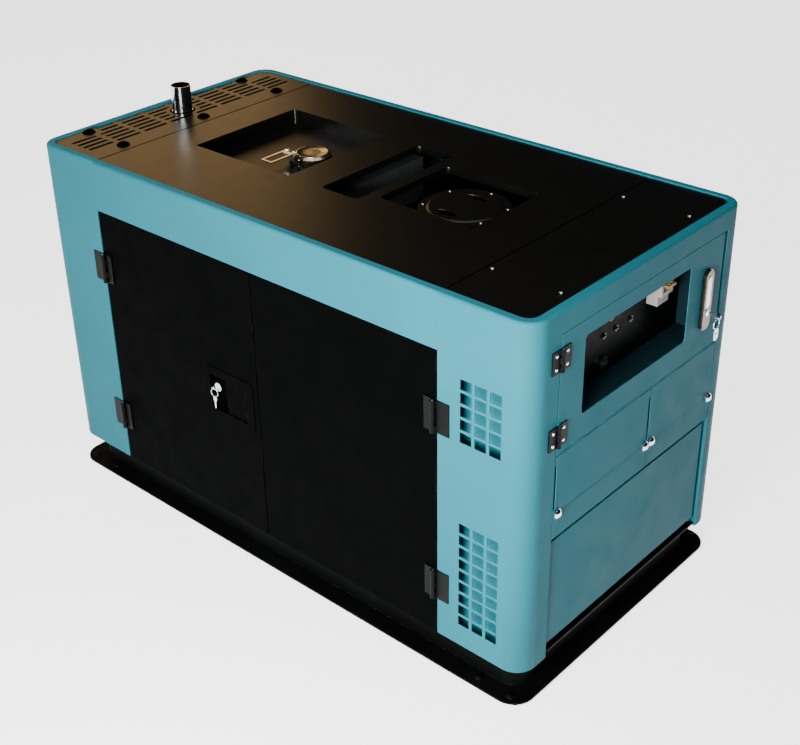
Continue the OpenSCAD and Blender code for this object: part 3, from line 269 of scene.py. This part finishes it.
finishes = {
    "teal_paint": paint("tealPaint", tealLook),
    "black_paint": paint("blackPaint", blackLook),
    "deck_black": paint("deckPaint", deckLook),
    "base_black": paint("basePaint", baseLook),
    "teal_painted_shade": paint("sillPaintedShade", shadedSillLook),
    "smoked_metal": metal("smokedMetal", smokedLook),
    "dark_hinge": paint("hingeBlack", hingeLook),
    "engine_grey": paint("engineGrey", greyLook),
    "bright_metal": metal("brightMetal", chromeLook),
    "plated_steel": metal("platedSteel", steelLook),
    "cap_metal": metal("capMetal", capLook),
    "pad_rubber": plastic("padRubber", rubberLook),
    "panel_black": plastic("panelPlastic", panelLook),
    "pale_plastic": plastic("palePlastic", paleLook),
    "lever_amber": plastic("amberPlastic", amberLook),
    "lamp_lens": plastic("lampLens", lensLook),
}


print("frame nodes")
# the control box takes the darker teal copy, which is painted shade inside the box
ownFinish = {"skid_base": "base_black", "flange_bolts": "base_black", "fuel_cap": "cap_metal",
             "control_box": "teal_painted_shade", "control_door_handle": "smoked_metal",
             "grille_cap_screws": "black_paint"}
for part in frame["record"]["subparts"]:
    node = nodes[part["node"]]
    finish = finishes[ownFinish.get(part["node"], part["material_slot"])]
    node.data.materials.clear()
    node.data.materials.append(finish)

# Broken edges on the folded sheet, so that they catch the light
edgeBreak = {"width": 0.0006, "segments": 2}
sheetNodes = ["left_end_frame", "right_end_frame", "front_top_rail", "back_top_rail", "left_end_panel",
              "lower_end_panel", "control_door", "left_flap", "right_flap", "front_left_door",
              "front_right_door", "back_left_door", "back_right_door", "grille_panel", "center_deck",
              "right_deck", "skid_base", "front_lock_dish", "front_lock_paddle", "back_lock_dish",
              "back_lock_paddle", "air_cleaner_cover"]
for name in sheetNodes:
    weld = nodes[name].modifiers.new("weld", "WELD")
    weld.merge_threshold = 0.00002
    soften = nodes[name].modifiers.new("soften", "BEVEL")
    soften.width, soften.segments = edgeBreak["width"], edgeBreak["segments"]
    soften.limit_method, soften.angle_limit = "ANGLE", math.radians(40)
    soften.harden_normals = False
handleBreak = {"width": 0.0014, "segments": 3}
roundHandle = nodes["control_door_handle"].modifiers.new("soften", "BEVEL")
roundHandle.width, roundHandle.segments = handleBreak["width"], handleBreak["segments"]
roundHandle.limit_method, roundHandle.angle_limit = "ANGLE", math.radians(40)


print("small fittings")


# Closed form from stacked rings: rings[i, j] is point j of ring i, each end shut by one pole point
def closedRings(rings, lowPole, highPole):
    count, around = rings.shape[:2]
    i, j = np.meshgrid(np.arange(count - 1), np.arange(around), indexing="ij")
    k = (j + 1) % around
    quads = np.stack([i * around + j, i * around + k, (i + 1) * around + k, (i + 1) * around + j], -1)
    j = np.arange(around)
    k = (j + 1) % around
    low, high, last = count * around, count * around + 1, (count - 1) * around
    lowFan = np.stack([np.full(around, low), k, j], -1)
    highFan = np.stack([np.full(around, high), last + j, last + k], -1)
    points = np.concatenate([rings.reshape(-1, 3), [lowPole], [highPole]])
    return points, quads.reshape(-1, 4), np.concatenate([lowFan, highFan])


# Closed loop of circles of one radius about each point of a flat closed path:
# path + radius * (cos(t) * outward + sin(t) * normal)
def closedTube(path, normal, radius, around=12):
    along = np.roll(path, -1, 0) - np.roll(path, 1, 0)
    outward = np.cross(along, normal)
    outward /= np.linalg.norm(outward, axis=1, keepdims=True)
    t = np.linspace(0, 2 * np.pi, around, endpoint=False)[None, :, None]
    rings = path[:, None] + radius * (np.cos(t) * outward[:, None] + np.sin(t) * np.asarray(normal))
    i, j = np.meshgrid(np.arange(len(path)), np.arange(around), indexing="ij")
    n, k = (i + 1) % len(path), (j + 1) % around
    quads = np.stack([i * around + j, i * around + k, n * around + k, n * around + j], -1)
    return rings.reshape(-1, 3), quads.reshape(-1, 4), np.zeros((0, 3), int)


# A profile of (radius, height) turned about a line through centre; across and other span its rings
def turned(profile, centre, axis, around=28):
    axis = np.asarray(axis, float)
    across = np.roll(axis, 1)
    other = np.cross(axis, across)
    t = np.linspace(0, 2 * np.pi, around, endpoint=False)[None, :, None]
    radius, height = (np.asarray(profile)[:, k, None, None] for k in (0, 1))
    rings = np.asarray(centre) + height * axis + radius * (np.cos(t) * across + np.sin(t) * other)
    middle = np.asarray(centre)
    return closedRings(rings, middle + profile[0][1] * axis, middle + profile[-1][1] * axis)


def addPiece(name, shapes, finish, body):
    offset, points, faces = 0, [], []
    for place, quads, triangles in shapes:
        points.append(place)
        faces += (quads + offset).tolist() + (triangles + offset).tolist()
        offset += len(place)
    mesh = bpy.data.meshes.new(name)
    mesh.from_pydata(np.concatenate(points).tolist(), [], faces)
    mesh.shade_smooth()
    mesh.materials.append(finishes[finish])
    work = bmesh.new()
    work.from_mesh(mesh)
    bmesh.ops.recalc_face_normals(work, faces=work.faces)
    work.to_mesh(mesh)
    work.free()
    piece = bpy.data.objects.new(name, mesh)
    bpy.context.scene.collection.objects.link(piece)
    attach(piece, body)
    return piece


# Domed screws in the control door's hinges, four to a hinge
hingeScrew = {"radius": 0.0033, "rise": 0.0019, "leaf": 0.0025, "barrel": 0.004, "reach": 0.01425,
              "height": 0.041, "inset": 0.0085}


def domeProfile(look):
    t = np.linspace(0.15, 1, 7)
    rim = look["radius"] * np.cos((1 - t) * np.pi / 2)[::-1]
    rise = look["rise"] * np.sin((1 - t) * np.pi / 2)
    low = [(look["radius"] * 0.5, -0.0004), (look["radius"], -0.0004)]
    return np.array(low + list(zip(np.sort(rim)[::-1], np.sort(rise))))


doorLeafLow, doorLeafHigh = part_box("control_door_leaves")
axisY = doorLeafLow.y + hingeScrew["barrel"]
screwX = doorLeafLow.x + hingeScrew["leaf"]
levels = [low + shift for low in (doorLeafLow.z, doorLeafHigh.z - hingeScrew["height"])
          for shift in (hingeScrew["inset"], hingeScrew["height"] - hingeScrew["inset"])]
for name, side, body in (("frameHingeScrews", -1, "canopy_and_base"),
                         ("doorHingeScrews", 1, "control_door_set")):
    addPiece(name, [turned(domeProfile(hingeScrew), (screwX, axisY + side * hingeScrew["reach"], z),
                           (1, 0, 0), 16) for z in levels], "bright_metal", body)


# Straight sides joined by quarter circles: corner centre + corner * (cos t, sin t)
def roundedLoop(width, height, corner, steps=10):
    t = np.linspace(0, np.pi / 2, steps)
    centres = np.array([(1, 1), (-1, 1), (-1, -1), (1, -1)]) * (width / 2 - corner, height / 2 - corner)
    turn = t[None, :] + np.arange(4)[:, None] * np.pi / 2
    arcs = centres[:, None] + corner * np.stack([np.cos(turn), np.sin(turn)], -1)
    return arcs.reshape(-1, 2)


# Keys on a ring in the front lock: the bow of the one in the lock, and a spare hanging from it
keyLook = {"ring": 0.0085, "wire": 0.0007, "drop": 0.0105, "thick": 0.0016,
           "aside": 0.003, "forward": 0.0015, "tilt": 0.12, "overlap": 0.001}
lockLow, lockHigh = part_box("front_lock_keys")
ringCentre = np.array([(lockLow.x + lockHigh.x) / 2 - keyLook["aside"],
                       lockLow.y + keyLook["forward"],
                       (lockLow.z + lockHigh.z) / 2 - keyLook["drop"]])
t = np.linspace(0, 2 * np.pi, 36, endpoint=False)
ringPath = ringCentre + keyLook["ring"] * np.stack([np.cos(t), keyLook["tilt"] * np.cos(t), np.sin(t)], -1)


# A flat tapering form: at each drop a flattened circle, its half width across and thick / 2 through
def flatBlade(top, levelDrop, halfWidth, thick, around=16):
    t = np.linspace(0, 2 * np.pi, around, endpoint=False)[None, :]
    drop, wide = np.asarray(levelDrop)[:, None], np.asarray(halfWidth)[:, None]
    rings = np.stack([top[0] + wide * np.cos(t), top[1] + thick / 2 * np.sin(t) + 0 * drop,
                      top[2] - drop + 0 * t], -1)
    return closedRings(rings[::-1], (top[0], top[1], top[2] - levelDrop[-1]),
                       (top[0], top[1], top[2] - levelDrop[0]))


spareTop = ringCentre - (0, 0, keyLook["ring"] - keyLook["overlap"])
spareKey = flatBlade(spareTop, [0.0, 0.002, 0.006, 0.010, 0.012, 0.013, 0.026, 0.028],
                     [0.0016, 0.0044, 0.0056, 0.0044, 0.0026, 0.0019, 0.0019, 0.0006], keyLook["thick"])
addPiece("frontSpareKey", [closedTube(ringPath, (0, 1, 0), keyLook["wire"], 10), spareKey],
         "bright_metal", "front_lock_core")

# Dished top of the fuel cap, with a rolled rim
capFace = {"radius": 0.0325, "rim": 0.0016}
capLow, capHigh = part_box("fuel_cap")
capProfile = [(0.010, -0.0006), (capFace["radius"], -0.0006), (capFace["radius"] + 0.0008, 0.0006),
              (capFace["radius"], capFace["rim"]), (capFace["radius"] - 0.002, capFace["rim"]),
              (capFace["radius"] - 0.0045, 0.0007), (0.016, 0.0003), (0.004, 0.0005)]
addPiece("fuelCapFace", [turned(capProfile, ((capLow.x + capHigh.x) / 2, (capLow.y + capHigh.y) / 2,
                                             capHigh.z), (0, 0, 1), 64)], "cap_metal", "fuel_cap_piece")

# Bright lever let into the door handle: a capsule outline whose crown falls off as the square of t
leverLook = {"width": 0.013, "length": 0.066, "crown": 0.0022, "below": 0.012,
             "middle": 0.015, "sunk": 0.0006}
handleLow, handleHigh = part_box("control_door_handle")
capsule = roundedLoop(leverLook["width"], leverLook["length"], leverLook["width"] / 2 - 0.0002)
reach = np.array([1, 0.85, 0.6, 0.3])[:, None]
leverY = handleLow.y + leverLook["middle"]
leverZ = handleHigh.z - leverLook["below"] - leverLook["length"] / 2
crown = np.repeat(leverLook["crown"] * (1 - reach ** 2), len(capsule), 1)
leverRings = np.stack([handleHigh.x + crown, leverY + reach * capsule[:, 0],
                       leverZ + reach * capsule[:, 1]], -1)
backRing = leverRings[:1] - (leverLook["sunk"], 0, 0)
addPiece("handleLever", [closedRings(np.concatenate([backRing, leverRings]),
                                     (handleHigh.x - leverLook["sunk"], leverY, leverZ),
                                     (handleHigh.x + leverLook["crown"], leverY, leverZ))],
         "bright_metal", "control_handle")

# Rolled hem round the window in the control door
hemLook = {"front": 0.066, "low": 0.045, "width": 0.321, "height": 0.148, "corner": 0.008,
           "radius": 0.0009}
doorLow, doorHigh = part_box("control_door")
hemLoop = roundedLoop(hemLook["width"], hemLook["height"], hemLook["corner"])
hemPath = np.stack([np.full(len(hemLoop), doorHigh.x - hemLook["radius"]),
                    doorLow.y + hemLook["front"] + hemLook["width"] / 2 + hemLoop[:, 0],
                    doorLow.z + hemLook["low"] + hemLook["height"] / 2 + hemLoop[:, 1]], -1)
addPiece("windowHem", [closedTube(hemPath, (1, 0, 0), hemLook["radius"], 10)], "teal_paint",
         "control_door_set")


print("stage")
stageLook = {"floorSize": 30, "floorColor": (0.93, 0.94, 0.95), "glow": 2.6}


def makeFloor(look):
    half = look["floorSize"] / 2
    mesh = bpy.data.meshes.new("floor")
    mesh.from_pydata([(-half, -half, 0), (half, -half, 0), (half, half, 0), (-half, half, 0)], [],
                     [(0, 1, 2, 3)])
    floor = bpy.data.objects.new("floor", mesh)
    bpy.context.scene.collection.objects.link(floor)
    s = Shader("floorPaint")
    tone = s.remap(s.noise(0.8, 2), 0.3, 0.7, 0, 1)
    pale = look["floorColor"]
    colour = s.blend(tone, pale, tuple(c * 0.985 for c in pale))
    mesh.materials.append(s.finish(Base_Color=colour, Roughness=0.9, Specular_IOR_Level=0.1,
                                   Emission_Color=pale, Emission_Strength=look["glow"]))
    floor.visible_diffuse = False      # bright backdrop that does not light the canopy from below


makeFloor(stageLook)

world = bpy.data.worlds.new("softRoom")
bpy.context.scene.world = world
world.use_nodes = True
world.node_tree.nodes["Background"].inputs["Color"].default_value = (0.90, 0.95, 1.0, 1)
world.node_tree.nodes["Background"].inputs["Strength"].default_value = 0.02

lights = {
    "keyLight": {"place": (0.85, -1.80, 0.95), "aim": (0.3, -0.2, 0.38), "size": 0.9, "power": 90,
                 "color": (1.0, 0.985, 0.95)},
    "topLight": {"place": (0.3, -0.6, 4.2), "aim": (0.1, -0.2, 0), "size": 4.5, "power": 85,
                 "color": (1.0, 1.0, 1.0)},
    "pipeStrip": {"place": (-2.0, -1.7, 1.5), "aim": (-0.56, 0, 0.79), "size": 0.35, "power": 9,
                  "color": (1.0, 1.0, 1.0)},
    "warmCard": {"place": (-3.1, 1.5, 1.75), "aim": (-0.4, 0, 0.75), "size": 1.9, "power": 15,
                 "color": (1.0, 0.62, 0.26)},
}
for name, look in lights.items():
    data = bpy.data.lights.new(name, "AREA")
    data.shape, data.size = "SQUARE", look["size"]
    data.energy, data.color = look["power"], look["color"]
    lamp = bpy.data.objects.new(name, data)
    bpy.context.scene.collection.objects.link(lamp)
    lamp.location = look["place"]
    lamp.rotation_mode = "QUATERNION"
    lamp.rotation_quaternion = (Vector(look["aim"]) - Vector(look["place"])).to_track_quat("-Z", "Y")

print("done")
